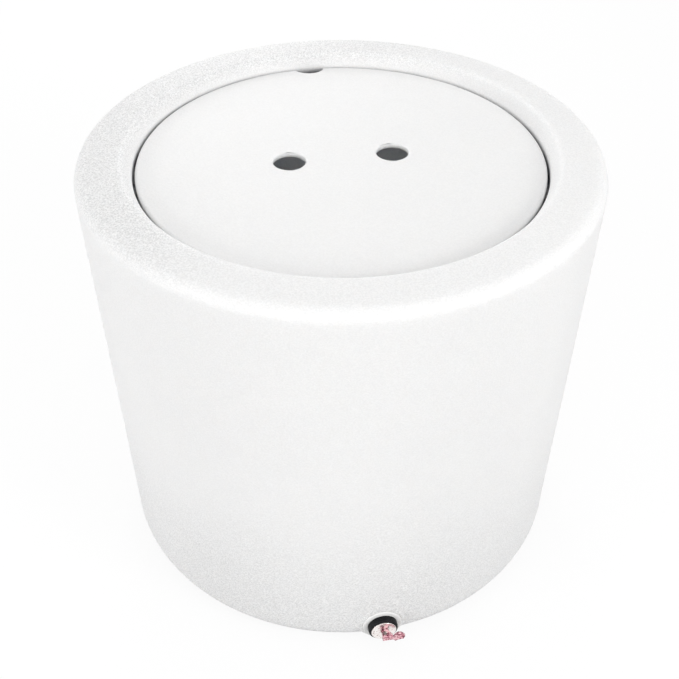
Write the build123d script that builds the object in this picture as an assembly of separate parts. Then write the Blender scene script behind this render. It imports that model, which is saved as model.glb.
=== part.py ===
"""Round free-standing bait well: moulded tank, lift-off lid and snap-lever drain plug.

Millimetres, +Z up.  The origin is the centre of the tank's flat base, on the floor.
The drain faces -Y, the lid's finger holes lie on X and its hose notch faces +Y.
"""
import os
from math import asin, atan2, cos, hypot, pi, sin

from build123d import *

# Tank: outside of the moulded body
overall_height = 456.0      # floor to the crest of the rim
rim_radius = 254.3          # outside of the wall, carried up to the rim
base_radius = 243.5         # outside of the wall, carried down to the floor
wall = 5.5                  # moulded wall, the same all round
base_inside_round = 18.5    # inside corner between wall and floor
rim_inside_round = 6.5      # inside corner under the rim's outer edge
crest_inside_round = 1.5    # inside corner under the crest
deck_drop = 3.2             # how far the rim's outer edge lies below the crest
flat_width = 14.0           # rounds of the moulding are drawn as flats about this wide

# Lid
lid_radius = 198.0
lid_gap = 2.5               # between the lid and the recess wall
lid_wall = 5.0
lid_depth = 13.4            # edge of the lid below the crest
lid_crown = 2.2             # rise of the flat middle above the edge
lid_margin = 13.0           # sloping margin round the flat middle
lid_edge_bevel = 2.4
lid_lip_height = 10.0       # downturned lip that stands on the ledge
finger_hole_radius = 15.9
finger_hole_spacing = 101.0
notch_radius = 15.5

# Seat for the lid, inside the rim
bevel_width = 12.3          # across, from the recess wall to the crest
ledge_width = 10.5          # from the recess wall to the clear mouth

# Drain: flat boss on the wall with a flanged bushing welded into it
drain_height = 28.0         # axis above the floor
boss_radius = 21.5
boss_proud = 0.3            # boss's flat face beyond the wall at the top of the boss
boss_thickness = 8.5
flange_radius = 20.5
flange_thickness = 1.8
bushing_radius = 17.8
bushing_bore_radius = 15.3
bushing_length = 20.0       # from the flange's front face
bushing_seat_gap = 0.05

# Expanding plug, snapped shut
rubber_length = 24.0
rubber_out = 6.4            # rubber standing out of the flange
plug_fit = 0.1              # radial, rubber in bore and stem in rubber
stem_radius = 3.0
stem_flat = 4.4             # thickness of the stem's flattened eye
stem_end_out = 2.0          # thread standing out of the nut
washer_radius = 13.2
washer_thickness = 1.4
nut_across_flats = 10.0
nut_thickness = 5.0
seat_gap = 0.05             # pieces that are screwed or riveted together

# Cam lever and its pin
cam_closed_height = 4.8     # pin axis above the washer with the lever snapped shut
cam_draw = 2.0              # how far a quarter turn of the lever pulls the stem
cam_gap = 0.2
lever_sheet = 1.3
eye_gap = 0.3               # round the stem's eye, to the ears and to the web
lever_fold_round = 1.5
lever_reach = 20.5          # pin axis to the tip of the tab
lever_tab_width = 12.4
lever_tab_dip = 1.2         # how far the tab bends back towards the washer
lever_tip_lift = 1.5        # turned-up tip of the tab
lever_toe = 3.6             # flat of the cam that rests when shut
tab_neck = 3.0              # length of the tab before it widens, and of its slanted shoulder
tab_flat = 5.0              # level part of the tab next to the ears
tab_low = 3.5               # dipped part of the tab
tab_tip = 3.1               # turned-up part of the tab
tab_bend_round = 3.0
pin_radius = 1.25
pin_head_radius = 2.3
pin_head_height = 0.9

# Levels that follow from these
lid_edge_level = overall_height - lid_depth
ledge_level = lid_edge_level - lid_lip_height
plain_wall_level = drain_height + 1.5 * boss_radius    # the wall is plain above this
recess_radius = lid_radius + lid_gap
crest_radius = recess_radius + bevel_width
mouth_radius = recess_radius - ledge_width
rubber_radius = bushing_bore_radius - plug_fit
washer_face = rubber_out + washer_thickness
pin_level = washer_face + cam_gap + cam_closed_height
eye_clearance = stem_radius + eye_gap
web_top = eye_clearance + lever_sheet
ear_inside = stem_flat / 2 + eye_gap
ear_outside = ear_inside + lever_sheet


def wall_radius(level):
    """Outside radius of the drafted wall at a height."""
    draft = (rim_radius - base_radius) / (overall_height - deck_drop)
    return base_radius + draft * level


flange_face = wall_radius(drain_height + boss_radius) + boss_proud + flange_thickness


def revolved(section):
    """Turn a section, drawn as radius and height, once round the vertical axis."""
    return revolve(Plane.XZ * section, Axis.Z)


def ring(outer, inner, bottom, top):
    """A flat washer or tube between two heights."""
    body = Pos(0, 0, (bottom + top) / 2) * Cylinder(outer, top - bottom)
    bore = Pos(0, 0, (bottom + top) / 2) * Cylinder(inner, 2 * (top - bottom))
    return body - bore


def at_drain(shape):
    """Carry a shape from the plug's own frame, +Z outwards from the flange, to the tank."""
    return Pos(0, -flange_face, drain_height) * Rot(90, 0, 0) * shape


def tangent_angle(point, centre, radius, side):
    """Direction of the line from a point that just touches a circle on one side."""
    across = centre[0] - point[0]
    up = centre[1] - point[1]
    return atan2(up, across) + side * asin(radius / hypot(across, up))


def rim_corner():
    """Where the rim's deck and its inner bevel would meet if the crest were sharp."""
    crest_round = crest_inside_round + wall
    centre = (crest_radius, overall_height - crest_round)
    edge = (rim_radius, overall_height - deck_drop)
    foot = (recess_radius, lid_edge_level)
    deck = tangent_angle(edge, centre, crest_round, -1)
    bevel = tangent_angle(foot, centre, crest_round, 1)
    reach = (foot[0] - edge[0]) * sin(bevel) - (foot[1] - edge[1]) * cos(bevel)
    reach /= cos(deck) * sin(bevel) - sin(deck) * cos(bevel)
    return edge[0] + reach * cos(deck), edge[1] + reach * sin(deck)


def in_flats(outline):
    """The closed outline with each round drawn as short flats."""
    points = []
    for edge in outline.order_edges():
        flats = 1
        if edge.geom_type == GeomType.CIRCLE:
            flats = max(1, round(edge.length / flat_width))
        points += [edge @ (flat / flats) for flat in range(flats)]
    sides = []
    for start, end in zip(points, points[1:] + points[:1]):
        if min(start.Y, end.Y) < plain_wall_level < max(start.Y, end.Y):
            share = (plain_wall_level - start.Y) / (end.Y - start.Y)
            middle = start + (end - start) * share
            upwards = end.Y > start.Y
            sides.append(Line(start, middle) if upwards else Bezier(start, middle))
            sides.append(Bezier(middle, end) if upwards else Line(middle, end))
        else:
            sides.append(Line(start, end))
    return make_face(sides)


def tank_section():
    """The moulded wall, from the middle of the floor round to the cut edge of the mouth."""
    outside = [
        (0, 0),
        (base_radius, 0),
        (rim_radius, overall_height - deck_drop),
        rim_corner(),
        (recess_radius, lid_edge_level),
    ]
    rounds = [base_inside_round + wall, rim_inside_round + wall, crest_inside_round + wall]
    skin = FilletPolyline(*outside, radius=rounds)
    skin += Polyline(
        (recess_radius, lid_edge_level),
        (recess_radius, ledge_level),
        (mouth_radius, ledge_level),
    )
    return in_flats(offset(skin, amount=wall, side=Side.LEFT, closed=True).wire())


def tank_shell():
    shell = revolved(tank_section())
    boss_middle = -flange_thickness - boss_thickness / 2
    boss = at_drain(Pos(0, 0, boss_middle) * Cylinder(boss_radius, boss_thickness))
    passage = at_drain(Cylinder(bushing_radius + bushing_seat_gap, 4 * bushing_length))
    return shell + boss - passage


def lid():
    """Crowned disc with a lip, two finger holes and one hose notch."""
    skin = Polyline(
        (0, lid_crown),
        (lid_radius - lid_margin, lid_crown),
        (lid_radius - lid_edge_bevel, 0),
        (lid_radius, -lid_edge_bevel),
        (lid_radius, -lid_lip_height),
    )
    disc = revolved(make_face(offset(skin, amount=lid_wall, side=Side.RIGHT, closed=True)))
    for side in (-1, 1):
        disc -= Pos(side * finger_hole_spacing / 2, 0, 0) * Cylinder(finger_hole_radius, 8 * lid_wall)
    disc -= Pos(0, lid_radius, 0) * Cylinder(notch_radius, 8 * lid_wall)
    return Pos(0, 0, lid_edge_level) * disc


def drain_bushing():
    """Tube through the boss with a flange that seats on it."""
    flange = ring(flange_radius, bushing_bore_radius, -flange_thickness, 0)
    tube = ring(bushing_radius, bushing_bore_radius, -bushing_length, -flange_thickness)
    return at_drain(flange + tube)


def plug_rubber():
    return at_drain(ring(rubber_radius, stem_radius + plug_fit, rubber_out - rubber_length, rubber_out))


def plug_washer(bottom, bore):
    return at_drain(ring(washer_radius, bore, bottom, bottom + washer_thickness))


def plug_nut(bottom):
    hexagon = RegularPolygon(nut_across_flats / 2, 6, major_radius=False)
    blank = Pos(0, 0, bottom) * extrude(hexagon, nut_thickness)
    bore = Pos(0, 0, bottom) * Cylinder(stem_radius + seat_gap, 4 * nut_thickness)
    return at_drain(blank - bore)


def plug_stem(bottom):
    """Round stem with a flattened, drilled eye for the lever's pin."""
    eye_start = washer_face + cam_gap
    eye_neck = pin_level - eye_start
    stem = Pos(0, 0, (bottom + eye_start) / 2) * Cylinder(stem_radius, eye_start - bottom)
    blank = Cylinder(stem_radius, eye_neck) & Box(4 * stem_radius, stem_flat, eye_neck)
    stem += Pos(0, 0, pin_level - eye_neck / 2) * blank
    across = Pos(0, 0, pin_level) * Rot(90, 0, 0)
    stem += across * Cylinder(stem_radius, stem_flat)
    stem -= across * Cylinder(pin_radius + seat_gap, 4 * stem_radius)
    return at_drain(stem)


def cam_flank():
    """Involute flank: the height over the washer falls evenly as the lever opens."""
    pull = cam_draw / (pi / 2)
    steps = 6
    points = []
    for step in range(steps + 1):
        turn = (pi / 2) * step / steps
        height = cam_closed_height - pull * turn
        facing = -pi / 2 - turn
        points.append(
            (
                height * cos(facing) - pull * sin(facing),
                height * sin(facing) + pull * cos(facing),
            )
        )
    return points


def lever():
    """Sheet-brass cam lever: two cam ears under a folded web that runs out into a tab."""
    flank = cam_flank()
    first, last = flank[0], flank[-1]
    ear_front = lever_toe + lever_sheet + stem_radius
    side = make_face(
        [
            Spline(*flank),
            Line(last, (last[0], web_top)),
            Line((last[0], web_top), (ear_front, web_top)),
            Line((ear_front, web_top), (ear_front, eye_clearance)),
            Line((ear_front, eye_clearance), (lever_toe, -cam_closed_height)),
            Line((lever_toe, -cam_closed_height), first),
        ]
    )
    silhouette = extrude(Plane.XZ * side, ear_outside, both=True)
    height = web_top + cam_closed_height
    middle = (web_top - cam_closed_height) / 2
    outside = Pos(0, 0, middle) * Box(4 * lever_reach, 2 * ear_outside, height)
    upper = outside.edges().filter_by(Axis.X).group_by(Axis.Z)[-1]
    outside = fillet(upper, lever_fold_round)
    inside = Pos(0, 0, middle - lever_sheet) * Box(8 * lever_reach, 2 * ear_inside, height)
    channel = silhouette & (outside - inside)

    low_level = eye_clearance - lever_tab_dip
    tab_line = FilletPolyline(
        (lever_toe, eye_clearance),
        (lever_toe + tab_flat, eye_clearance),
        (lever_reach - tab_tip - tab_low, low_level),
        (lever_reach - tab_tip, low_level),
        (lever_reach, low_level + lever_tip_lift),
        radius=tab_bend_round,
    )
    sheet = make_face(offset(tab_line, amount=lever_sheet, side=Side.LEFT, closed=True))
    sheet = extrude(Plane.XZ * sheet, lever_tab_width / 2, both=True)
    half_tab = lever_tab_width / 2
    tip_centre = lever_reach - half_tab
    shoulder = tip_centre - tab_neck
    neck = lever_toe + tab_neck
    plan = make_face(
        [
            Line((lever_toe, -ear_outside), (neck, -ear_outside)),
            Line((neck, -ear_outside), (shoulder, -half_tab)),
            Line((shoulder, -half_tab), (tip_centre, -half_tab)),
            ThreePointArc((tip_centre, -half_tab), (lever_reach, 0), (tip_centre, half_tab)),
            Line((tip_centre, half_tab), (shoulder, half_tab)),
            Line((shoulder, half_tab), (neck, ear_outside)),
            Line((neck, ear_outside), (lever_toe, ear_outside)),
            Line((lever_toe, ear_outside), (lever_toe, -ear_outside)),
        ]
    )
    tab = sheet & extrude(plan, 4 * web_top, both=True)
    body = channel + tab
    body -= Rot(90, 0, 0) * Cylinder(pin_radius + seat_gap, 4 * ear_outside)
    return at_drain(Pos(0, 0, pin_level) * body)


def lever_pin():
    """Riveted pin with a head on each side of the ears."""
    head_top = ear_outside + seat_gap + pin_head_height
    pin = Cylinder(pin_radius, 2 * head_top)
    for side in (-1, 1):
        pin += Pos(0, 0, side * (head_top - pin_head_height / 2)) * Cylinder(
            pin_head_radius, pin_head_height
        )
    return at_drain(Pos(0, 0, pin_level) * Rot(90, 0, 0) * pin)


inner_washer_level = rubber_out - rubber_length - washer_thickness
nut_level = inner_washer_level - nut_thickness

nodes = {
    "tank_shell": tank_shell(),
    "lid": lid(),
    "drain_bushing": drain_bushing(),
    "plug_rubber": plug_rubber(),
    "plug_outer_washer": plug_washer(rubber_out, stem_radius + plug_fit),
    "plug_inner_washer": plug_washer(inner_washer_level, stem_radius + seat_gap),
    "plug_nut": plug_nut(nut_level),
    "plug_stem": plug_stem(nut_level - stem_end_out),
    "cam_lever": lever(),
    "lever_pin": lever_pin(),
}

os.makedirs("parts", exist_ok=True)
for name, shape in nodes.items():
    export_step(shape, f"parts/{name}.step")
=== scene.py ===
import math

import bmesh
import bpy
from mathutils import Matrix, Vector, noise


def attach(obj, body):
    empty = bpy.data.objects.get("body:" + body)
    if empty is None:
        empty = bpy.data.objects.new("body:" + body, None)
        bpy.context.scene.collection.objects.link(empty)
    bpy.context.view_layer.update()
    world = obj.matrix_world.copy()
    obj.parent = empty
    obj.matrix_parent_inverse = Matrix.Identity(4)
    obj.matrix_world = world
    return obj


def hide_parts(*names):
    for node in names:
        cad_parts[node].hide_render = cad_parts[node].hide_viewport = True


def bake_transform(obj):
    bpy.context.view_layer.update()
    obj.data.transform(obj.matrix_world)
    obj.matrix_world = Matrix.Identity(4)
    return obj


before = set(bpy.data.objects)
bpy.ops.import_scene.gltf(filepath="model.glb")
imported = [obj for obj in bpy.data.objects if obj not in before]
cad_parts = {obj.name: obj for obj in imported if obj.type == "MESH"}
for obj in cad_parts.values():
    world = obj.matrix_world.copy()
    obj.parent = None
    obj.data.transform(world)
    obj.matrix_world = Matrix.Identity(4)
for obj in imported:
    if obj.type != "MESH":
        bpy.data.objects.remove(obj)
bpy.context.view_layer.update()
mm = 0.001


# nodes

def newMaterial(name):
    mat = bpy.data.materials.new(name)
    mat.use_nodes = True
    return mat, mat.node_tree, mat.node_tree.nodes["Principled BSDF"]


def feed(tree, socket, value):
    # a socket takes either a link or a fixed value
    if isinstance(value, bpy.types.NodeSocket):
        tree.links.new(value, socket)
    elif socket.type == "RGBA":
        socket.default_value = (*value[:3], 1)
    else:
        socket.default_value = value


def feedAll(tree, node, **sockets):
    for key, value in sockets.items():  # From_Min stands for the socket "From Min"
        feed(tree, node.inputs[key.replace("_", " ")], value)


def addNode(tree, kind, settings=None, **sockets):
    node = tree.nodes.new(kind)
    for key, value in (settings or {}).items():
        setattr(node, key, value)
    feedAll(tree, node, **sockets)
    return node


def objectCoords(tree, scale=(1, 1, 1)):
    where = tree.nodes.new("ShaderNodeTexCoord").outputs["Object"]
    return addNode(tree, "ShaderNodeMapping", Vector=where, Scale=scale).outputs["Vector"]


def noiseTexture(tree, perMetre, detail=2.0, rough=0.5, stretch=(1, 1, 1), distort=0.0):
    where = objectCoords(tree, stretch)
    return addNode(tree, "ShaderNodeTexNoise", Vector=where, Scale=perMetre, Detail=detail,
                   Roughness=rough, Distortion=distort).outputs["Fac"]


def ramp(tree, fac, stops, *colours):
    node = tree.nodes.new("ShaderNodeValToRGB")
    tree.links.new(fac, node.inputs["Fac"])
    band = node.color_ramp
    while len(band.elements) < len(stops):
        band.elements.new(0.5)
    for element, place, colour in zip(band.elements, stops, colours):
        element.position = place
        element.color = (*colour, 1)
    return node.outputs["Color"]


def mathNode(tree, kind, first, second):
    node = addNode(tree, "ShaderNodeMath", {"operation": kind})
    feed(tree, node.inputs[0], first)
    feed(tree, node.inputs[1], second)
    return node.outputs[0]


def times(tree, first, *others):
    for other in others:
        first = mathNode(tree, "MULTIPLY", first, other)
    return first


def rangeNode(tree, value, fromMin, fromMax, toMin=0.0, toMax=1.0, eased=False):
    kind = {"interpolation_type": "SMOOTHSTEP" if eased else "LINEAR"}
    return addNode(tree, "ShaderNodeMapRange", kind, Value=value, From_Min=fromMin, From_Max=fromMax,
                   To_Min=toMin, To_Max=toMax).outputs["Result"]


def blendNode(tree, share, first, second, kind="RGBA"):
    low, out = {"FLOAT": (2, 0), "RGBA": (6, 2)}[kind]  # the node keeps a set of sockets for each kind
    mix = addNode(tree, "ShaderNodeMix", {"data_type": kind})
    for number, value in ((0, share), (low, first), (low + 1, second)):
        feed(tree, mix.inputs[number], value)
    return mix.outputs[out]


def bumpInto(tree, bsdf, layers):
    normal = None
    for height, depth in layers:  # depth in mm
        bump = addNode(tree, "ShaderNodeBump", Height=height, Distance=depth * mm)
        if normal:
            tree.links.new(normal, bump.inputs["Normal"])
        normal = bump.outputs["Normal"]
    tree.links.new(normal, bsdf.inputs["Normal"])


# moulded polyethylene, for the tank, the lid and the bushing
moulding = {
    "wavesPerMetre": 22, "streaksPerMetre": 150, "mottlePerMetre": 14, "grainPerPebble": 1.6,
    "roughnessSpread": 0.07, "ior": 1.5, "specular": 0.28, "glowTint": (0.94, 0.97, 1),
    "fleckBand": (0.38, 0.62), "speckledShadeBand": (0.36, 0.64), "mottleBand": (0.35, 0.62),
    "gapShadeBand": (0.38, 0.6),
}


def speckledShadeShare(tree, speckledShade):
    # painted shade laid over the speckle: darker towards the floor and on the rim, most on the left and
    # the back
    place = addNode(tree, "ShaderNodeSeparateXYZ", Vector=objectCoords(tree)).outputs
    patch = mathNode(tree, "SUBTRACT", noiseTexture(tree, speckledShade["patchesPerMetre"], 3.0, 0.6), 0.5)
    height = mathNode(tree, "SUBTRACT", place["Z"], times(tree, patch, speckledShade["patchHigh"] * mm))
    foot = rangeNode(tree, height, speckledShade["footTop"] * mm, 0.0, eased=True)
    near, far = speckledShade["footSide"]
    fade = rangeNode(tree, place["X"], near * mm, far * mm, 1.0, speckledShade["leastOnFoot"], True)
    foot = times(tree, foot, fade)

    start, end = speckledShade["rimFrom"] * mm, tank["height"] * mm
    rim = rangeNode(tree, place["Z"], start, end, 0.0, speckledShade["onRim"], True)
    patch = noiseTexture(tree, speckledShade["rimPatchesPerMetre"], 3.0, 0.6)
    side = mathNode(tree, "SUBTRACT", place["Y"], place["X"])
    side = mathNode(tree, "ADD", side, times(tree, patch, speckledShade["rimPatchWide"] * mm))
    near, far = speckledShade["rimSide"]
    rim = times(tree, rim, rangeNode(tree, side, near * mm, far * mm, speckledShade["leastOnRim"], 1.0, True))
    return mathNode(tree, "MAXIMUM", foot, rim)


def gapShadeShare(tree, gapShade):
    # painted shade in the gap round the lid, between two radii and two heights
    height = addNode(tree, "ShaderNodeSeparateXYZ", Vector=objectCoords(tree)).outputs["Z"]
    flat = objectCoords(tree, (1, 1, 0))
    radius = addNode(tree, "ShaderNodeVectorMath", {"operation": "LENGTH"}, Vector=flat).outputs["Value"]
    (inStart, inFull), (outFull, outEnd) = gapShade["inner"], gapShade["outer"]
    near = rangeNode(tree, radius, inStart * mm, inFull * mm, eased=True)
    far = rangeNode(tree, radius, outEnd * mm, outFull * mm, eased=True)
    deep = rangeNode(tree, height, gapShade["top"] * mm, gapShade["bottom"] * mm, eased=True)
    low = rangeNode(tree, height, gapShade["floor"] * mm, (gapShade["floor"] + 1) * mm)
    patchy = noiseTexture(tree, gapShade["patchesPerMetre"], 3.0, 0.6)
    patchy = rangeNode(tree, patchy, *moulding["gapShadeBand"], gapShade["thinnest"], 1.0, True)
    return times(tree, near, far, deep, low, patchy)


def polyethylene(name, look, gapShade=None):
    mat, tree, bsdf = newMaterial(name)
    pebble = addNode(tree, "ShaderNodeTexVoronoi", {"feature": "SMOOTH_F1"}, Vector=objectCoords(tree),
                     Scale=look["pebblesPerMetre"], Smoothness=0.9).outputs["Distance"]
    grain = noiseTexture(tree, look["pebblesPerMetre"] * moulding["grainPerPebble"], 3.0, 0.6)
    waves = noiseTexture(tree, moulding["wavesPerMetre"], 1.0, 0.4)
    streaks = noiseTexture(tree, moulding["streaksPerMetre"], 2.0, 0.5, (0.35, 0.35, 3))
    mottle = noiseTexture(tree, moulding["mottlePerMetre"], 4.0, 0.6)
    fleck = noiseTexture(tree, look["flecksPerMetre"], 2.0, 0.5, (1, 1, 1.6), 0.4)

    tone = rangeNode(tree, fleck, *moulding["fleckBand"], look["fleckShade"], 1.0)
    # painted shade: the speckle turns darker towards the floor and round the left and back of the rim
    if "speckledShade" in look:
        speckledShade = look["speckledShade"]
        speckledShaded = rangeNode(tree, fleck, *moulding["speckledShadeBand"], speckledShade["dark"], speckledShade["pale"])
        tone = blendNode(tree, speckledShadeShare(tree, speckledShade), tone, speckledShaded, "FLOAT")
    tint = ramp(tree, mottle, moulding["mottleBand"], look["shade"], look["white"])
    speckled = addNode(tree, "ShaderNodeVectorMath", {"operation": "SCALE"}, Vector=tint, Scale=tone)
    colour = speckled.outputs["Vector"]
    # painted shade: the gap round the lid is darkened towards a near-black blue
    if gapShade:
        colour = blendNode(tree, gapShadeShare(tree, gapShade), colour, gapShade["colour"])

    spread = moulding["roughnessSpread"]
    rough = rangeNode(tree, grain, 0.0, 1.0, look["roughness"] - spread, look["roughness"] + spread)
    feedAll(tree, bsdf, Base_Color=colour, Roughness=rough, IOR=moulding["ior"],
            Specular_IOR_Level=moulding["specular"], Subsurface_Weight=look["glow"],
            Subsurface_Radius=moulding["glowTint"], Subsurface_Scale=look["glowDepth"] * mm)
    bumpInto(tree, bsdf, [(waves, look["wavesDeep"]), (streaks, look["streaksDeep"]),
                          (pebble, look["pebblesDeep"]), (grain, look["grainDeep"])])
    return mat


# mesh helpers

def addObject(name, data):
    piece = bpy.data.objects.new(name, data)
    bpy.context.scene.collection.objects.link(piece)
    return piece


def meshFrom(name, bm):
    mesh = bpy.data.meshes.new(name)
    bm.to_mesh(mesh)
    bm.free()
    return mesh


def shadeSmooth(mesh, sharpAngle=None):
    for face in mesh.polygons:
        face.use_smooth = True
    if sharpAngle:
        mesh.set_sharp_from_angle(angle=math.radians(sharpAngle))


def meshObject(name, bm, mat, sharpAngle=None):
    bmesh.ops.recalc_face_normals(bm, faces=bm.faces)
    mesh = meshFrom(name, bm)
    shadeSmooth(mesh, sharpAngle)
    mesh.materials.append(mat)
    piece = addObject(name, mesh)
    return piece


def roundedLine(corners, radii, arcStep=9):
    # corner points with a radius each; gives points with their left-hand normals
    pts = [Vector(c) for c in corners]
    out = []
    for before, corner, after, r in zip(pts, pts[1:], pts[2:], radii):
        a, b = (corner - before).normalized(), (after - corner).normalized()
        turn = math.atan2(a.x * b.y - a.y * b.x, a.dot(b))
        side = 1 if turn > 0 else -1
        start = corner - a * (r * math.tan(abs(turn) / 2))
        left = Vector((-a.y, a.x))
        centre = start + left * r * side
        if not out:
            out.append((pts[0], left))
        steps = max(2, math.ceil(abs(math.degrees(turn)) / arcStep))
        for k in range(steps + 1):
            angle, spoke = turn * k / steps, start - centre
            turned = Vector((spoke.x * math.cos(angle) - spoke.y * math.sin(angle),
                             spoke.x * math.sin(angle) + spoke.y * math.cos(angle)))
            out.append((centre + turned, -turned.normalized() * side))
    out.append((pts[-1], Vector((-b.y, b.x))))
    return out


def pointsOf(line):
    return [point for point, normal in line]


def fillSteps(points, longest):
    out = [points[0]]
    for a, b in zip(points, points[1:]):
        n = max(1, math.ceil((b - a).length / longest))
        out += [a.lerp(b, k / n) for k in range(1, n + 1)]
    return out


def joinRings(bm, rings, closed=False):
    count = max(len(ring) for ring in rings)
    for low, high in zip(rings, rings[1:] + rings[:1] if closed else rings[1:]):
        for k in range(count):
            n = (k + 1) % count
            corners = (low[k % len(low)], low[n % len(low)], high[n % len(high)], high[k % len(high)])
            face = list(dict.fromkeys(corners))  # a ring on the axis is a single point
            if len(face) > 2:
                bm.faces.new(face)


def joinRows(bm, first, second):
    for k in range(len(first) - 1):
        bm.faces.new((first[k], first[k + 1], second[k + 1], second[k]))


def revolveInto(bm, profile, count, place=lambda p: p, closed=False):
    turns = [2 * math.pi * k / count for k in range(count)]
    rings = []
    for r, h in profile:
        spokes = turns if r > 1e-7 else [0]
        rings.append([bm.verts.new(place(Vector((r * math.cos(t), r * math.sin(t), h)))) for t in spokes])
    joinRings(bm, rings, closed)


def cutAway(piece, cutters):
    for cutter in cutters:
        mod = piece.modifiers.new("cut", "BOOLEAN")
        mod.operation = "DIFFERENCE"
        mod.solver = "EXACT"
        mod.object = cutter
    bpy.context.view_layer.update()
    dg = bpy.context.evaluated_depsgraph_get()
    mesh = bpy.data.meshes.new_from_object(piece.evaluated_get(dg))
    piece.modifiers.clear()
    piece.data = mesh
    for cutter in cutters:
        bpy.data.objects.remove(cutter)


def roundCutter(name, centre, radius, length, alongY=False, sides=96):
    bm = bmesh.new()
    bmesh.ops.create_cone(bm, cap_ends=True, segments=sides, radius1=radius, radius2=radius, depth=length)
    if alongY:
        bm.transform(Matrix.Rotation(math.pi / 2, 4, "X"))
    bm.transform(Matrix.Translation(centre))
    return addObject(name, meshFrom(name, bm))


def easedStep(value, start, end):
    t = min(1, max(0, (value - start) / (end - start)))
    return t * t * (3 - 2 * t)


# tank
tank = {
    "height": 456.0, "rimRadius": 254.3, "baseRadius": 243.5, "wall": 5.5, "deckDrop": 3.2,
    "baseRound": 24.0, "rimRound": 12.0, "crestRadius": 212.8, "crestRound": 7.0, "bevelRound": 8.5,
    "recessRadius": 200.5, "lidEdge": 442.6, "ledge": 432.6, "ledgeRound": 2.0,
    "mouthRadius": 190.0, "mouthRound": 1.5, "sides": 288, "outsideStep": 14, "insideStep": 20,
    "waves": {"deep": 0.35, "aroundPerMetre": 9, "upPerMetre": 6, "bias": 0.25, "fromRadius": 230,
              "bottom": 30, "top": 440, "fade": 30, "drainAt": 245, "drainClear": 90, "drainFade": 50},
    "look": {"white": (0.91, 0.91, 0.91), "shade": (0.90, 0.90, 0.902), "roughness": 0.52,
             "glow": 0.9, "glowDepth": 7.0, "pebblesPerMetre": 520, "pebblesDeep": 0.35, "grainDeep": 0.2,
             "streaksDeep": 0.12, "wavesDeep": 0.4, "flecksPerMetre": 640, "fleckShade": 0.95,
             # painted shade: darker speckle towards the floor and on the left and back of the rim
             "speckledShade": {"dark": 0.70, "pale": 1.03, "footTop": 230, "patchesPerMetre": 7,
                        "patchHigh": 160, "footSide": (0, 200), "leastOnFoot": 0.5,
                        "rimFrom": 440, "onRim": 0.9, "rimPatchesPerMetre": 6, "rimPatchWide": 200,
                        "rimSide": (0, 280), "leastOnRim": 0.12}},
    # painted shade: near-black blue down in the gap between the lid and the rim
    "gapShade": {"inner": (191, 196), "outer": (200.6, 201.2), "bottom": 434, "top": 443, "floor": 426.5,
              "patchesPerMetre": 30, "thinnest": 0.6, "colour": (0.05, 0.055, 0.07)},
}


def touching(point, centre, radius, side):
    # angle of the line from a point that touches a circle
    across, up = centre[0] - point[0], centre[1] - point[1]
    return math.atan2(up, across) + side * math.asin(radius / math.hypot(across, up))


def rimCorner():
    # where the deck of the rim and the bevel inside it would meet, over the rounded crest
    centre = (tank["crestRadius"], tank["height"] - tank["crestRound"])
    edge = (tank["rimRadius"], tank["height"] - tank["deckDrop"])
    foot = (tank["recessRadius"], tank["lidEdge"])
    deck = touching(edge, centre, tank["crestRound"], -1)
    bevel = touching(foot, centre, tank["crestRound"], 1)
    reach = (foot[0] - edge[0]) * math.sin(bevel) - (foot[1] - edge[1]) * math.cos(bevel)
    reach /= math.cos(deck) * math.sin(bevel) - math.sin(deck) * math.cos(bevel)
    return edge[0] + reach * math.cos(deck), edge[1] + reach * math.sin(deck)


outerLine = roundedLine(
    [(0, 0), (tank["baseRadius"], 0), (tank["rimRadius"], tank["height"] - tank["deckDrop"]), rimCorner(),
     (tank["recessRadius"], tank["lidEdge"]), (tank["recessRadius"], tank["ledge"]),
     (tank["mouthRadius"], tank["ledge"])],
    [tank["baseRound"], tank["rimRound"], tank["crestRound"], tank["bevelRound"], tank["ledgeRound"]])


def wallRadius(level):
    # outside radius of the skin at a height below the rim
    for (a, _), (b, _) in zip(outerLine, outerLine[1:]):
        if a.y <= level <= b.y and a.x > tank["baseRadius"] / 2:
            return a.x + (b.x - a.x) * (level - a.y) / max(b.y - a.y, 1e-9)
    return tank["baseRadius"]


def roughenSkin(bm):
    # a moulded wall is never quite even; it calms down at both ends and round the drain
    waves = tank["waves"]
    around, up, fade = waves["aroundPerMetre"], waves["upPerMetre"], waves["fade"] * mm
    bottom, top = waves["bottom"] * mm, waves["top"] * mm
    for v in bm.verts:
        r = math.hypot(v.co.x, v.co.y)
        if r > waves["fromRadius"] * mm and bottom < v.co.z < top:
            wave = noise.noise(Vector((v.co.x * around, v.co.y * around, v.co.z * up))) - waves["bias"]
            fromDrain = math.hypot(v.co.x, v.co.y + waves["drainAt"] * mm) + v.co.z
            fromDrain -= waves["drainClear"] * mm
            calm = min(1, max(0, fromDrain / (waves["drainFade"] * mm)))
            calm *= min(1, (top - v.co.z) / fade, (v.co.z - bottom) / fade)
            push = 1 + wave * waves["deep"] * mm * calm / r
            v.co.x *= push
            v.co.y *= push


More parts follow.
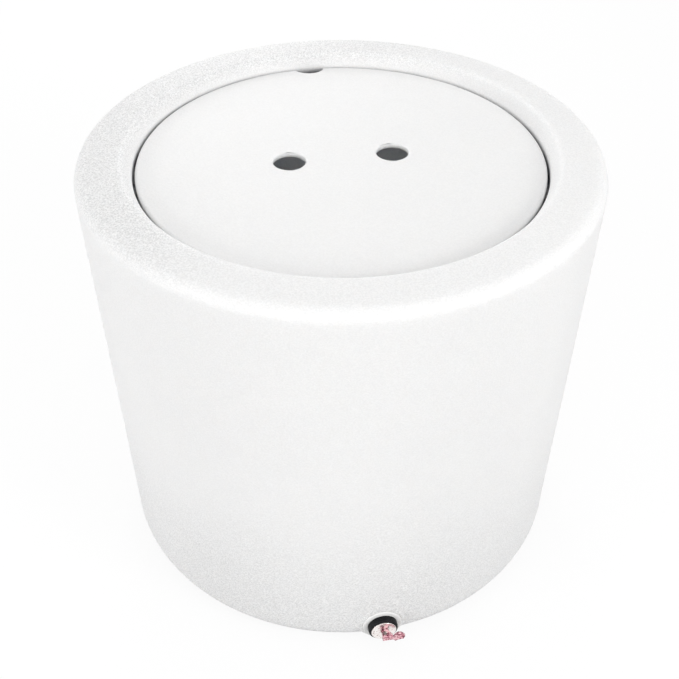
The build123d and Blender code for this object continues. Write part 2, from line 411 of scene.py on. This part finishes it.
def makeTank():
    inner = [point + normal * tank["wall"] for point, normal in outerLine]
    r, m = tank["mouthRound"], tank["mouthRadius"]
    top, under = tank["ledge"], tank["ledge"] - tank["wall"]
    lip = pointsOf(roundedLine([(m + r + 1, top), (m, top), (m, under), (m + r + 1, under)], [r, r], 30))
    profile = fillSteps(pointsOf(outerLine)[:-1], tank["outsideStep"]) + lip
    profile += fillSteps(inner[:-1][::-1], tank["insideStep"])
    bm = bmesh.new()
    revolveInto(bm, [(p.x * mm, p.y * mm) for p in profile], tank["sides"])
    roughenSkin(bm)
    raiseBoss(bm)
    body = meshObject("tankBody", bm, polyethylene("tank_polyethylene", tank["look"], tank["gapShade"]))
    middle = Vector((0, -drain["cutAt"], drain["level"])) * mm
    radius = (drain["tubeRadius"] + drain["cutRoom"]) * mm
    cutAway(body, [roundCutter("hole", middle, radius, drain["cutLength"] * mm, True)])
    shadeSmooth(body.data, sharpAngle=50)
    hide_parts("tank_shell")
    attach(body, "tank")
    print("tank done")


# drain boss and bushing
drain = {
    "level": 28.0, "bossRadius": 21.5, "bossProud": 0.3, "bossEdge": 1.2, "skirt": 5.5, "skinDeep": 1.5,
    "tubeRadius": 17.8, "boreRadius": 15.3, "tubeLength": 20.0, "flangeRadius": 20.5, "flangeThick": 1.8,
    "flangeRound": 0.9, "boreRound": 0.5, "backRound": 0.15, "rootRound": 0.1, "sides": 128,
    "cutAt": 235, "cutLength": 60, "cutRoom": 0.05, "finerBy": (3, 3), "finerMargin": 4, "frontFrom": 200,
    "look": {"white": (0.84, 0.84, 0.83), "shade": (0.80, 0.80, 0.79), "roughness": 0.35,
             "glow": 0.3, "glowDepth": 3.0, "pebblesPerMetre": 900, "pebblesDeep": 0.03,
             "grainDeep": 0.03, "streaksDeep": 0.02, "wavesDeep": 0.05, "flecksPerMetre": 900,
             "fleckShade": 0.97},
}
draft = (tank["rimRadius"] - tank["baseRadius"]) / (tank["height"] - tank["deckDrop"])
bossFace = tank["baseRadius"] + draft * (drain["level"] + drain["bossRadius"]) + drain["bossProud"]
flangeFace = bossFace + drain["flangeThick"]


def atDrain(p):
    # from the plug's own frame, with z outwards from the flange, to the tank's
    return Vector((p.x, -flangeFace * mm - p.z, drain["level"] * mm + p.y))


def raiseBoss(bm):
    # flat round face for the flange, drawn out of the wall's own skin with a soft skirt
    inner = (drain["bossRadius"] - drain["bossEdge"]) * mm
    outer = (drain["bossRadius"] + drain["skirt"]) * mm
    middle = Vector((0, drain["level"] * mm))

    def away(v):
        return (Vector((v.co.x, v.co.z)) - middle).length

    def onSkin(v):
        skin = wallRadius(max(v.co.z / mm, 0.3)) - drain["skinDeep"]
        return v.co.y < -drain["frontFrom"] * mm and math.hypot(v.co.x, v.co.y) > skin * mm

    for cuts in drain["finerBy"]:
        reach = outer + drain["finerMargin"] * mm
        near = [f for f in bm.faces if all(onSkin(v) for v in f.verts)]
        near = [f for f in near if min(away(v) for v in f.verts) < reach]
        edges = list({e for f in near for e in f.edges})
        bmesh.ops.subdivide_edges(bm, edges=edges, cuts=cuts, use_grid_fill=True)
    for v in bm.verts:
        if onSkin(v) and away(v) < outer:
            v.co.y = -bossFace * mm + (v.co.y + bossFace * mm) * easedStep(away(v), inner, outer)


def makeBushing():
    f, t, b = drain["flangeRadius"], drain["tubeRadius"], drain["boreRadius"]
    length, back = drain["tubeLength"], drain["flangeThick"]
    corners = [(b, -length), (b, 0), (f, 0), (f, -back), (t, -back), (t, -length)]
    rounds = [drain["boreRound"], drain["flangeRound"], drain["backRound"], drain["rootRound"]]
    bm = bmesh.new()
    profile = [(p.x * mm, p.y * mm) for p in pointsOf(roundedLine(corners, rounds, 15))]
    revolveInto(bm, profile, drain["sides"], atDrain, closed=True)
    bushing = meshObject("drainBushing", bm, polyethylene("bushing_polyethylene", drain["look"]),
                         sharpAngle=40)
    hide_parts("drain_bushing")
    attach(bushing, "tank")
    print("drain done")


# lid
lid = {
    "radius": 198.0, "wall": 5.0, "edgeLevel": 442.6, "crown": 2.2, "flatRadius": 185.0,
    "marginRound": 95.0, "edgeRound": 4.0, "lipHeight": 10.0, "underRadius": 184.0, "underDrop": 4.3,
    "underRound": 60, "underCorner": 1.0, "fingerRadius": 15.9, "fingerSpacing": 101.0,
    "notchRadius": 15.5, "cutRound": 0.8, "cutDepth": 60, "sides": 288, "skinStep": 9,
    "look": {"white": (0.91, 0.91, 0.91), "shade": (0.90, 0.90, 0.902), "roughness": 0.5,
             "glow": 0.9, "glowDepth": 7.0, "pebblesPerMetre": 460, "pebblesDeep": 0.25,
             "grainDeep": 0.15, "streaksDeep": 0.05, "wavesDeep": 0.3, "flecksPerMetre": 640,
             "fleckShade": 0.965},
    # painted shade: near-black blue on the lid's edge, down in the gap
    "gapShade": {"inner": (197.2, 198), "outer": (199, 200), "bottom": 433, "top": 441, "floor": 426.5,
              "patchesPerMetre": 30, "thinnest": 0.6, "colour": (0.06, 0.065, 0.08)},
}


def softenCuts(mesh, cuts):
    # small round on the edges that the cutters left
    bm = bmesh.new()
    bm.from_mesh(mesh)
    near = 1.5 * lid["cutRound"] * mm
    cutEdges = []
    for e in bm.edges:
        if len(e.link_faces) == 2 and e.calc_face_angle(0) > math.radians(50):
            m = (e.verts[0].co + e.verts[1].co) / 2
            if any(abs((m.xy - centre.xy).length - radius) < near for centre, radius in cuts):
                cutEdges.append(e)
    bmesh.ops.bevel(bm, geom=cutEdges, offset=lid["cutRound"] * mm, segments=3, profile=0.5,
                    affect="EDGES")
    bm.to_mesh(mesh)
    bm.free()


def makeLid():
    r, w, c = lid["radius"], lid["wall"], lid["crown"]
    foot = -lid["lipHeight"]
    outer = [(0, c), (lid["flatRadius"], c), (r, 0), (r, foot)]
    under = [(0, c - w), (lid["underRadius"], c - w), (r - w, -lid["underDrop"]), (r - w, foot)]
    outer = pointsOf(roundedLine(outer, [lid["marginRound"], lid["edgeRound"]], 2))
    under = pointsOf(roundedLine(under, [lid["underRound"], lid["underCorner"]], 4))
    profile = fillSteps(outer + under[::-1], lid["skinStep"])
    bm = bmesh.new()
    revolveInto(bm, [(p.x * mm, (p.y + lid["edgeLevel"]) * mm) for p in profile], lid["sides"])
    panel = meshObject("lidPanel", bm, polyethylene("lid_polyethylene", lid["look"], lid["gapShade"]))
    apart = lid["fingerSpacing"] / 2
    finger, depth = lid["fingerRadius"], lid["cutDepth"] * mm
    holes = ((-apart, 0, finger), (apart, 0, finger), (0, r, lid["notchRadius"]))
    cuts = [(Vector((x * mm, y * mm, lid["edgeLevel"] * mm)), radius * mm) for x, y, radius in holes]
    cutAway(panel, [roundCutter("cutter", centre, radius, depth) for centre, radius in cuts])
    softenCuts(panel.data, cuts)
    shadeSmooth(panel.data, sharpAngle=45)
    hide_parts("lid")
    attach(panel, "lid")
    print("lid done")


# plug rubber
plug = {
    "rubberLength": 24.0, "rubberOut": 6.4, "rubberRadius": 15.2, "belly": 0.45, "endRound": 1.3,
    "bore": 3.1, "sides": 96, "skinStep": 1.2,
    "look": {"soot": (0.004, 0.004, 0.005), "bloom": (0.010, 0.010, 0.012), "lint": (0.13, 0.14, 0.16),
             "bloomPerMetre": 120, "dustPerMetre": 900, "lintPerMetre": 1400,
             "roughness": (0.30, 0.62), "specular": 0.14, "bloomDeep": 0.25, "dustDeep": 0.12,
             "bloomBand": (0.35, 0.75), "dustBand": (0.3, 0.7), "lintBand": (0.66, 0.74)},
}


def blackRubber(look):
    mat, tree, bsdf = newMaterial("black_rubber")
    bloom = noiseTexture(tree, look["bloomPerMetre"], 3.0, 0.6)
    dust = noiseTexture(tree, look["dustPerMetre"], 4.0, 0.65)
    lint = noiseTexture(tree, look["lintPerMetre"], 2.0, 0.5, (1, 2.5, 1))
    soot = ramp(tree, bloom, look["bloomBand"], look["soot"], look["bloom"])
    colour = blendNode(tree, rangeNode(tree, lint, *look["lintBand"]), soot, look["lint"])
    rough = rangeNode(tree, dust, *look["dustBand"], *look["roughness"])
    feedAll(tree, bsdf, Base_Color=colour, Roughness=rough, Specular_IOR_Level=look["specular"])
    bumpInto(tree, bsdf, [(bloom, look["bloomDeep"]), (dust, look["dustDeep"])])
    return mat


def makeRubber():
    top, bottom, r = plug["rubberOut"], plug["rubberOut"] - plug["rubberLength"], plug["rubberRadius"]
    corners = [(plug["bore"], bottom), (r, bottom), (r, top), (plug["bore"], top)]
    line = fillSteps(pointsOf(roundedLine(corners, [plug["endRound"]] * 2, 12)), plug["skinStep"])
    profile = []
    for p in line:
        swell = plug["belly"] * math.sin(math.pi * min(max(p.y / top, 0), 1)) if p.x > r - 1 else 0
        profile.append(((min(p.x, r) + swell) * mm, p.y * mm))
    bm = bmesh.new()
    revolveInto(bm, profile, plug["sides"], atDrain, closed=True)
    rubber = meshObject("plugRubber", bm, blackRubber(plug["look"]), sharpAngle=60)
    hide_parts("plug_rubber")
    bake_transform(rubber)
    print("rubber done")


# brass, for the washers, the stem, the nut, the lever and its rivet
brasses = {
    # each brass's darkest colour is used for painted shade in crevices and at sharp edges
    "rosy_brass": {"colour": (0.93, 0.60, 0.64), "dark": (0.38, 0.11, 0.16),
                   "creviceShade": (0.05, 0.008, 0.016), "roughness": (0.22, 0.40), "scratches": 0.02},
    # painted highlight: the washers' brass is near white, paler than the lever's, standing in for their
    # highlight
    "brass_painted_highlight": {"colour": (0.94, 0.91, 0.89), "dark": (0.86, 0.78, 0.76),
                     "creviceShade": (0.52, 0.44, 0.42), "roughness": (0.16, 0.34), "scratches": 0.03},
    "tarnished_brass": {"colour": (0.40, 0.35, 0.34), "dark": (0.20, 0.15, 0.15),
                        "creviceShade": (0.08, 0.05, 0.05), "roughness": (0.30, 0.48), "scratches": 0.02},
    # stains, pits and scratches are wear; the crevice and edge settings paint shade
    "wearAndShade": {"stainsPerMetre": 420, "pitsPerMetre": 1500, "scratchesPerMetre": 700, "stainDeep": 0.06,
             "pitsDeep": 0.015, "edgeWide": 0.8, "edgeDark": 7.0, "nookReach": 2.8,
             "nookBand": (0.70, 0.99), "nookShade": (0.24, 0.66), "shadeStops": (0.32, 0.42, 0.56)},
}


def brass(name):
    mat, tree, bsdf = newMaterial(name)
    look, wearAndShade = brasses[name], brasses["wearAndShade"]
    stain = noiseTexture(tree, wearAndShade["stainsPerMetre"], 3.0, 0.55)
    pits = noiseTexture(tree, wearAndShade["pitsPerMetre"], 3.0, 0.6)
    scratches = noiseTexture(tree, wearAndShade["scratchesPerMetre"], 2.0, 0.5, (0.15, 2.0, 0.15))
    # painted shade: ambient occlusion darkens the colour in crevices and under heads; random stains
    # darken it too
    creviceShade = addNode(tree, "ShaderNodeAmbientOcclusion", {"samples": 6, "only_local": True},
                   Distance=wearAndShade["nookReach"] * mm).outputs["AO"]
    lit = rangeNode(tree, creviceShade, *wearAndShade["nookBand"], *wearAndShade["nookShade"])
    shade = mathNode(tree, "MINIMUM", stain, lit)
    tint = ramp(tree, shade, wearAndShade["shadeStops"], look["creviceShade"], look["dark"], look["colour"])
    soft = addNode(tree, "ShaderNodeBevel", {"samples": 4}, Radius=wearAndShade["edgeWide"] * mm)
    plain = tree.nodes.new("ShaderNodeNewGeometry")
    facing = addNode(tree, "ShaderNodeVectorMath", {"operation": "DOT_PRODUCT"})
    feed(tree, facing.inputs[0], soft.outputs["Normal"])
    feed(tree, facing.inputs[1], plain.outputs["Normal"])
    edge = mathNode(tree, "SUBTRACT", 1.0, facing.outputs["Value"])  # grows towards sharp corners
    # painted shade: sharp edges and corners are darkened towards the near-black crevice colour
    colour = blendNode(tree, times(tree, edge, wearAndShade["edgeDark"]), tint, look["creviceShade"])
    rough = rangeNode(tree, pits, 0.0, 1.0, *look["roughness"])
    feedAll(tree, bsdf, Base_Color=colour, Roughness=rough, Metallic=1.0)
    bumpInto(tree, bsdf, [(stain, wearAndShade["stainDeep"]), (scratches, look["scratches"]),
                          (pits, wearAndShade["pitsDeep"])])
    return mat


# clamp hardware: washers, stem, nut and rivet
metal = {
    "washerRadius": 13.2, "washerThick": 1.4, "washerRound": 0.45, "washerBore": 3.1, "innerBore": 3.05,
    "boreRound": 0.15, "boreSoft": 0.25, "washerSides": 128,
    "stemRadius": 3.0, "stemOut": 2.0, "thread": 1.0, "threadDeep": 0.38, "threadOver": 3,
    "threadStep": 0.125, "stemEnd": 0.35, "stemEndIn": 0.45, "stemSides": 48,
    "eyeThick": 4.4, "eyeSunk": 0.3, "eyeShoulder": 2.6, "eyeRound": 0.3, "camGap": 0.2, "pinHeight": 4.8,
    "nutFlats": 10.0, "nutThick": 5.0, "nutSides": 144, "nutRoom": 0.05, "nutMouth": 0.5,
    "nutChamfer": ((0.97, 0), (1.1, 0.3), (1.2, 0.7)),
    "pinRadius": 1.25, "pinRoom": 0.05, "headRadius": 2.3, "headHigh": 0.9, "headRoom": 0.05,
    "domeFrom": 0.18, "underHead": (0.08, 0.05), "rivetSides": 40, "drillLength": 20,
}
washerFace = plug["rubberOut"] + metal["washerThick"]
pinLevel = washerFace + metal["camGap"] + metal["pinHeight"]
innerFace = plug["rubberOut"] - plug["rubberLength"]
nutFace = innerFace - metal["washerThick"]


def pinDrill():
    centre = atDrain(Vector((0, 0, pinLevel)) * mm)
    radius = (metal["pinRadius"] + metal["pinRoom"]) * mm
    return roundCutter("drill", centre, radius, metal["drillLength"] * mm, sides=32)


def makeWashers(mat):
    r, edge, thick = metal["washerRadius"], metal["washerRound"], metal["washerThick"]
    for name, node, bottom, body, bore in (
            ("outerWasher", "plug_outer_washer", plug["rubberOut"], "plug", metal["washerBore"]),
            ("innerWasher", "plug_inner_washer", nutFace, "stem", metal["innerBore"])):
        middle, top = bottom + thick / 2, bottom + thick
        corners = [(bore, middle), (bore, bottom), (r, bottom), (r, top), (bore, top), (bore, middle)]
        line = roundedLine(corners, [metal["boreRound"], edge, edge, metal["boreSoft"]], 15)
        bm = bmesh.new()
        profile = [(q.x * mm, q.y * mm) for q in pointsOf(line)[:-1]]
        revolveInto(bm, profile, metal["washerSides"], atDrain, closed=True)
        washer = meshObject(name, bm, mat, sharpAngle=50)
        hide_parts(node)
        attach(washer, body)


def threadedStem(mat):
    r, sides = metal["stemRadius"], metal["stemSides"]
    bottom, neck = nutFace - metal["nutThick"] - metal["stemOut"], washerFace + metal["camGap"]
    threadTop, start = nutFace + metal["threadOver"], bottom + metal["stemEnd"]
    turns = int((threadTop - bottom) / metal["threadStep"])
    levels = [bottom, start] + [start + k * metal["threadStep"] for k in range(1, turns)] + [neck]
    bm = bmesh.new()
    rings = []
    for level in levels:
        ring = []
        fade = min(1, max(0, threadTop - level))
        for k in range(sides):
            wave = abs((level / metal["thread"] - k / sides) % 1 - 0.5) * 2  # a vee thread
            drawnIn = metal["stemEndIn"] if level == bottom else 0
            radius = r - metal["threadDeep"] * wave * fade - drawnIn
            turn = k / sides * 2 * math.pi
            at = Vector((radius * math.cos(turn), radius * math.sin(turn), level)) * mm
            ring.append(bm.verts.new(atDrain(at)))
        rings.append(ring)
    joinRings(bm, rings)
    bm.faces.new(rings[0])
    bm.faces.new(rings[-1])
    return meshObject("clampStem", bm, mat, sharpAngle=35)


def flattenedEye(mat):
    # a round end on two cheeks, drilled for the rivet
    r, half, top = metal["stemRadius"], metal["eyeThick"] / 2, pinLevel
    flat = math.sqrt(r * r - half * half)
    low, shoulder = washerFace + metal["camGap"] - metal["eyeSunk"], top - metal["eyeShoulder"]
    arc = [(r * math.cos(t), top + r * math.sin(t)) for t in map(math.radians, range(-12, 193, 12))]
    outline = [(flat, low), (flat, shoulder)] + arc + [(-flat, shoulder), (-flat, low)]
    bm = bmesh.new()
    sides = [[bm.verts.new(atDrain(Vector((x, y, z)) * mm)) for x, z in outline] for y in (-half, half)]
    joinRings(bm, sides)
    for ring in sides:
        bm.faces.new(ring)
    sharp = [e for e in bm.edges if e.calc_face_angle(0) > math.radians(60)]
    bmesh.ops.bevel(bm, geom=sharp, offset=metal["eyeRound"] * mm, segments=2, profile=0.5,
                    affect="EDGES")
    eye = meshObject("clampEye", bm, mat, sharpAngle=40)
    cutAway(eye, [pinDrill()])
    return eye


def makeStem(mat):
    stem = threadedStem(mat)
    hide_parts("plug_stem")
    for piece in (stem, flattenedEye(mat)):
        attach(piece, "stem")


def makeNut(mat):
    half, thick, mouth = metal["nutFlats"] / 2, metal["nutThick"], metal["nutMouth"]
    bore = metal["stemRadius"] + metal["nutRoom"]
    chamfer = [(bore, mouth), (bore + mouth, 0)]
    chamfer += [(half * share, level) for share, level in metal["nutChamfer"]]
    rows = chamfer + [(reach, thick - level) for reach, level in chamfer[::-1]]
    bm = bmesh.new()
    rings = []
    for reach, level in rows:
        ring = []
        for k in range(metal["nutSides"]):
            turn = 2 * math.pi * k / metal["nutSides"]
            hexagon = half / math.cos((turn + math.pi / 6) % (math.pi / 3) - math.pi / 6)
            radius = min(reach, hexagon)
            at = Vector((radius * math.sin(turn), radius * math.cos(turn), nutFace - level)) * mm
            ring.append(bm.verts.new(atDrain(at)))
        rings.append(ring)
    joinRings(bm, rings, closed=True)
    nut = meshObject("clampNut", bm, mat, sharpAngle=22)
    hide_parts("plug_nut")
    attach(nut, "stem")


def makeRivet(mat):
    shank, head, high = metal["pinRadius"], metal["headRadius"], metal["headHigh"]
    face, low = lever["earOutside"] + metal["headRoom"], metal["domeFrom"]
    end = [(0, face + high)]
    for t in map(math.radians, range(15, 91, 15)):
        end.append((head * math.sin(t), face + low + (high - low) * math.cos(t)))
    inwards, up = metal["underHead"]
    end += [(head, face + up), (head - inwards, face), (shank, face)]
    profile = end + [(r, -z) for r, z in end[::-1]]

    def across(q):
        return atDrain(Vector((q.x, q.z, q.y)) + Vector((0, 0, pinLevel * mm)))
    bm = bmesh.new()
    revolveInto(bm, [(r * mm, z * mm) for r, z in profile], metal["rivetSides"], across)
    rivet = meshObject("leverRivet", bm, mat, sharpAngle=50)
    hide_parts("lever_pin")
    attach(rivet, "stem")


# lever: folded sheet with cam ears, a waist and a ribbed thumb tab
lever = {
    "sheet": 1.3, "earOutside": 3.8, "bend": 1.5, "toe": 3.6, "reach": 20.5, "eyeRoom": 3.3, "draw": 2.0,
    "tabWidth": 12.4, "waistEnd": 6.6, "tabStart": 3.0, "flare": 1.6,
    "dip": 1.2, "dipFrom": 8.2, "dipTo": 14.2, "tipLift": 1.2, "tipFrom": 3.4, "tipTo": 0.4,
    "ribs": 3, "ribHigh": 1.0, "ribLow": 0.35, "ribFrom": 11.6, "ribEase": 1.6, "ribEnd": 0.4,
    "ribEndEase": 1.4, "ribEdge": 0.16, "dimple": 0.35, "dimpleRadius": 2.2, "dimpleUnder": 0.2,
    "edgeRound": 0.22, "leastLeg": 0.2, "earSteps": 26, "legSteps": 6, "tabSteps": 30,
}
sheetHalf = lever["sheet"] / 2
earMiddle = lever["earOutside"] - sheetHalf  # the middle of the sheet, on its ears, bends and web
bendMiddle = lever["bend"] - sheetHalf
webMiddle = lever["eyeRoom"] + sheetHalf
earFront = lever["toe"] + lever["sheet"] + metal["stemRadius"]


def camProfile():
    # the flank that bears on the washer: an involute, so the stem moves evenly with the turn
    pull, steps = lever["draw"] / (math.pi / 2), 12
    pts = []
    for step in range(steps + 1):
        turn = math.pi / 2 * step / steps
        height, facing = metal["pinHeight"] - pull * turn, -math.pi / 2 - turn
        pts.append((height * math.cos(facing) - pull * math.sin(facing),
                    height * math.sin(facing) + pull * math.cos(facing)))
    return pts


def lowestAt(x, flank):
    # underside of the ears along the lever: cam flank, flat toe, then the slanted front
    if x <= flank[0][0]:
        for (x1, z1), (x0, z0) in zip(flank, flank[1:]):
            if x0 <= x <= x1 + 1e-9:
                return z0 + (z1 - z0) * (x - x0) / max(x1 - x0, 1e-9)
        return flank[-1][1]
    if x <= lever["toe"]:
        return -metal["pinHeight"]
    rise = lever["eyeRoom"] + metal["pinHeight"]
    return -metal["pinHeight"] + rise * (x - lever["toe"]) / (earFront - lever["toe"])


def tabHeight(x):
    # middle of the sheet along the tab, with soft bends
    tip = lever["reach"]
    dip = lever["dip"] * easedStep(x, lever["dipFrom"], lever["dipTo"])
    lift = lever["tipLift"] * easedStep(x, tip - lever["tipFrom"], tip + lever["tipTo"])
    return webMiddle - dip + lift


def tabHalf(x):
    half = lever["tabWidth"] / 2
    centre = lever["reach"] - half
    if x > centre:
        return half * math.sqrt(max(0.02, 1 - ((x - centre) / half) ** 2))
    narrow = lever["earOutside"]
    return narrow + (half - narrow) * easedStep(x, lever["waistEnd"], centre - lever["tabStart"])


def foldedRow(bm, x, flank):
    # across the folded part: leg, bend, web, bend, leg
    foot = webMiddle - bendMiddle
    low = min(lowestAt(x, flank), foot - lever["leastLeg"])
    half = []
    for k in range(lever["legSteps"] + 1):
        half.append((earMiddle, low + (foot - low) * k / lever["legSteps"]))
    for t in map(math.radians, range(18, 91, 18)):
        half.append((earMiddle - bendMiddle + bendMiddle * math.cos(t), foot + bendMiddle * math.sin(t)))
    web = [((earMiddle - bendMiddle) * k / 4, webMiddle) for k in range(-3, 4)]
    line = [(-y, z) for y, z in half] + web + half[::-1]
    return [bm.verts.new(Vector((x, y, z))) for y, z in line], len(half)


def foldSheet(bm):
    flank = camProfile()
    back, steps = flank[-1][0], lever["earSteps"]
    previous = None
    for k in range(steps + 1):
        row, legs = foldedRow(bm, round(back + k * (earFront - back) / steps, 4), flank)
        if previous:
            joinRows(bm, previous, row)
        previous = row
    previous = previous[legs - 1:1 - legs]  # the level middle of the web carries on into the tab
    last, steps = len(previous) - 1, lever["tabSteps"]
    for step in range(1, steps + 1):
        x = earFront + (lever["reach"] - earFront) * step / steps
        wide = min(tabHalf(x), earMiddle - bendMiddle + (x - earFront) * lever["flare"])
        across = [wide * (2 * k / last - 1) for k in range(last + 1)]
        row = [bm.verts.new(Vector((x, y, tabHeight(x)))) for y in across]
        joinRows(bm, previous, row)
        previous = row
    tabEdges = [e for e in bm.edges if min(v.co.x for v in e.verts) >= earFront - 1e-6]
    bmesh.ops.subdivide_edges(bm, edges=tabEdges, cuts=2, use_grid_fill=True)


def pressSheet(bm):
    # ribs pressed into the thumb tab, and a shallow dimple in the web
    for v in bm.verts:
        if v.co.x > lever["ribFrom"]:
            toEnd = lever["reach"] - lever["ribEnd"] - v.co.x
            along = min(1, (v.co.x - lever["ribFrom"]) / lever["ribEase"])
            along = min(along, max(0, toEnd / lever["ribEndEase"]))
            share = v.co.y / (lever["tabWidth"] / 2)
            ridge = 0.5 + 0.5 * math.cos(share * math.pi * lever["ribs"])
            edge = min(1, max(0, (1 - abs(share)) / lever["ribEdge"]))
            v.co.z += lever["ribHigh"] * (ridge - lever["ribLow"]) * along * edge
        elif v.co.z > webMiddle - lever["dimpleUnder"]:
            near = math.hypot(v.co.x, v.co.y) / lever["dimpleRadius"]
            v.co.z -= lever["dimple"] * max(0, 1 - near * near)


def makeLever(mat):
    bm = bmesh.new()
    foldSheet(bm)
    pressSheet(bm)
    bm.transform(Matrix.Scale(mm, 4))
    bm.transform(Matrix.Translation((0, 0, pinLevel * mm)))
    for v in bm.verts:
        v.co = atDrain(v.co)
    piece = meshObject("camLever", bm, mat)
    sheet = piece.modifiers.new("sheet", "SOLIDIFY")
    sheet.thickness = lever["sheet"] * mm
    sheet.offset = 0
    sheet.use_even_offset = True
    soft = piece.modifiers.new("edges", "BEVEL")
    soft.width = lever["edgeRound"] * mm
    soft.segments = 2
    soft.limit_method = "ANGLE"
    soft.angle_limit = math.radians(50)
    cutAway(piece, [pinDrill()])
    shadeSmooth(piece.data, sharpAngle=45)
    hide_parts("cam_lever")
    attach(piece, "lever")


def makeMetal():
    rosy = brass("rosy_brass")
    makeWashers(brass("brass_painted_highlight"))
    makeStem(rosy)
    makeNut(rosy)
    makeRivet(brass("tarnished_brass"))
    makeLever(rosy)
    print("clamp hardware done")


makeTank()
makeBushing()
makeLid()
makeRubber()
makeMetal()

# floor, lights and camera; each lamp has its power in watts, its size and its place in metres
studio = {
    "floorSize": 12, "floorColour": (0.48, 0.48, 0.48), "seenFloor": (0.93, 0.93, 0.93),
    "floorWhite": 0.88, "floorRoughness": 0.9, "floorSpecular": 0.1,
    "world": 0.67, "lampsAimAt": (0, 0, 0.25),
    "lamps": {"key": (19, 1.0, (1.35, -1.6, 1.15)), "fill": (16.6, 1.1, (-2.0, -0.9, 0.65)),
              "front": (4.4, 1.2, (-0.2, -2.2, 0.5)), "top": (4.3, 1.2, (0.0, 0.1, 2.3)),
              "back": (12, 1.2, (0.0, 2.2, 1.2))},
    "cameraAt": (-0.1606, -0.8753, 0.9637), "lookAt": (-0.0012, 0.0002, 0.2136), "lens": 55.67,
    "sensor": 36, "roll": 0.00204, "clip": (0.05, 60),
}


def seenRays(tree, *kinds):
    # 1 for the camera's own rays and for those that metal and glass send out
    rays = tree.nodes.new("ShaderNodeLightPath").outputs
    seen = rays["Is Camera Ray"]
    for kind in kinds:
        seen = mathNode(tree, "MAXIMUM", seen, rays[kind])
    return seen


def blendShaders(tree, share, first, second):
    mix = tree.nodes.new("ShaderNodeMixShader")
    feed(tree, mix.inputs[0], share)
    tree.links.new(first.outputs[0], mix.inputs[1])
    tree.links.new(second.outputs[0], mix.inputs[2])
    return mix.outputs[0]


def makeFloor():
    bm = bmesh.new()
    bmesh.ops.create_grid(bm, x_segments=1, y_segments=1, size=studio["floorSize"])
    floor = addObject("floor", meshFrom("floor", bm))
    mat, tree, bsdf = newMaterial("floor")
    seen = seenRays(tree, "Is Glossy Ray")
    feedAll(tree, bsdf, Roughness=studio["floorRoughness"], Specular_IOR_Level=studio["floorSpecular"],
            Base_Color=blendNode(tree, seen, studio["floorColour"], studio["seenFloor"]))
    white = addNode(tree, "ShaderNodeEmission", Color=(1, 1, 1), Strength=1.0)
    surface = blendShaders(tree, times(tree, seen, studio["floorWhite"]), bsdf, white)
    tree.links.new(surface, tree.nodes["Material Output"].inputs["Surface"])
    floor.data.materials.append(mat)


def makeWorld():
    world = bpy.data.worlds.new("studio")
    bpy.context.scene.world = world
    world.use_nodes = True
    tree = world.node_tree
    tree.nodes.clear()
    out = tree.nodes.new("ShaderNodeOutputWorld")
    soft = addNode(tree, "ShaderNodeBackground", Color=(1, 1, 1), Strength=studio["world"])
    white = addNode(tree, "ShaderNodeBackground", Color=(1, 1, 1), Strength=1.0)
    seen = seenRays(tree, "Is Glossy Ray", "Is Transmission Ray")
    tree.links.new(blendShaders(tree, seen, soft, white), out.inputs["Surface"])


def makeLamps():
    for name, (power, size, place) in studio["lamps"].items():
        light = bpy.data.lights.new(name, "AREA")
        light.energy = power
        light.shape = "DISK"
        light.size = size
        lamp = addObject(name, light)
        lamp.location = place
        aim = Vector(studio["lampsAimAt"]) - Vector(place)
        lamp.rotation_euler = aim.to_track_quat("-Z", "Y").to_euler()


def makeCamera():
    data = bpy.data.cameras.new("camera")
    data.lens = studio["lens"]
    data.sensor_width = studio["sensor"]
    data.clip_start, data.clip_end = studio["clip"]
    cam = addObject("camera", data)
    cam.location = studio["cameraAt"]
    aim = Vector(studio["lookAt"]) - Vector(studio["cameraAt"])
    roll = Matrix.Rotation(studio["roll"], 3, "Z").to_quaternion()
    cam.rotation_mode = "QUATERNION"
    cam.rotation_quaternion = aim.to_track_quat("-Z", "Y") @ roll
    bpy.context.scene.camera = cam


makeFloor()
makeWorld()
makeLamps()
makeCamera()
bpy.context.scene.view_settings.view_transform = "Standard"
print("studio done")
